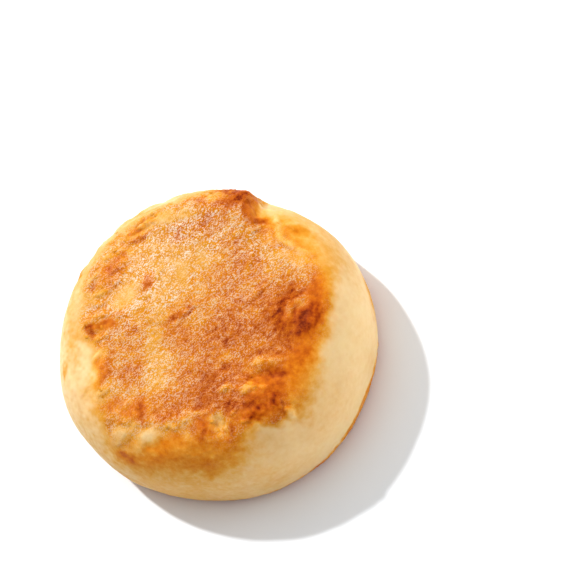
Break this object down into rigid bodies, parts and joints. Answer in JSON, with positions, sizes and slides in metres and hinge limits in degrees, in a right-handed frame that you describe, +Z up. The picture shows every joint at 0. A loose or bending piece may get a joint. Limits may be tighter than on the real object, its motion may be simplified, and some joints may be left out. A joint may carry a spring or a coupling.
{
  "type": "syrnik",
  "caption": "Thick round curd-cheese pancake with a blistered golden-brown crust, a pale side and a browned lower face.",
  "frame": {"origin": "middle of the footprint, on the flat lower face that the pancake rests on", "axes": "+Z up through the pancake's thickness; +Y towards the edge where the upper crust rises into a lip; +X to the right of it, seen from above with +Y away"},
  "size_m": [0.0652, 0.0624, 0.026],
  "materials": {
    "fried_curd": "satin"
  },
  "bodies": {
    "root": {"syrnik": "fried_curd"}
  },
  "joints": []
}
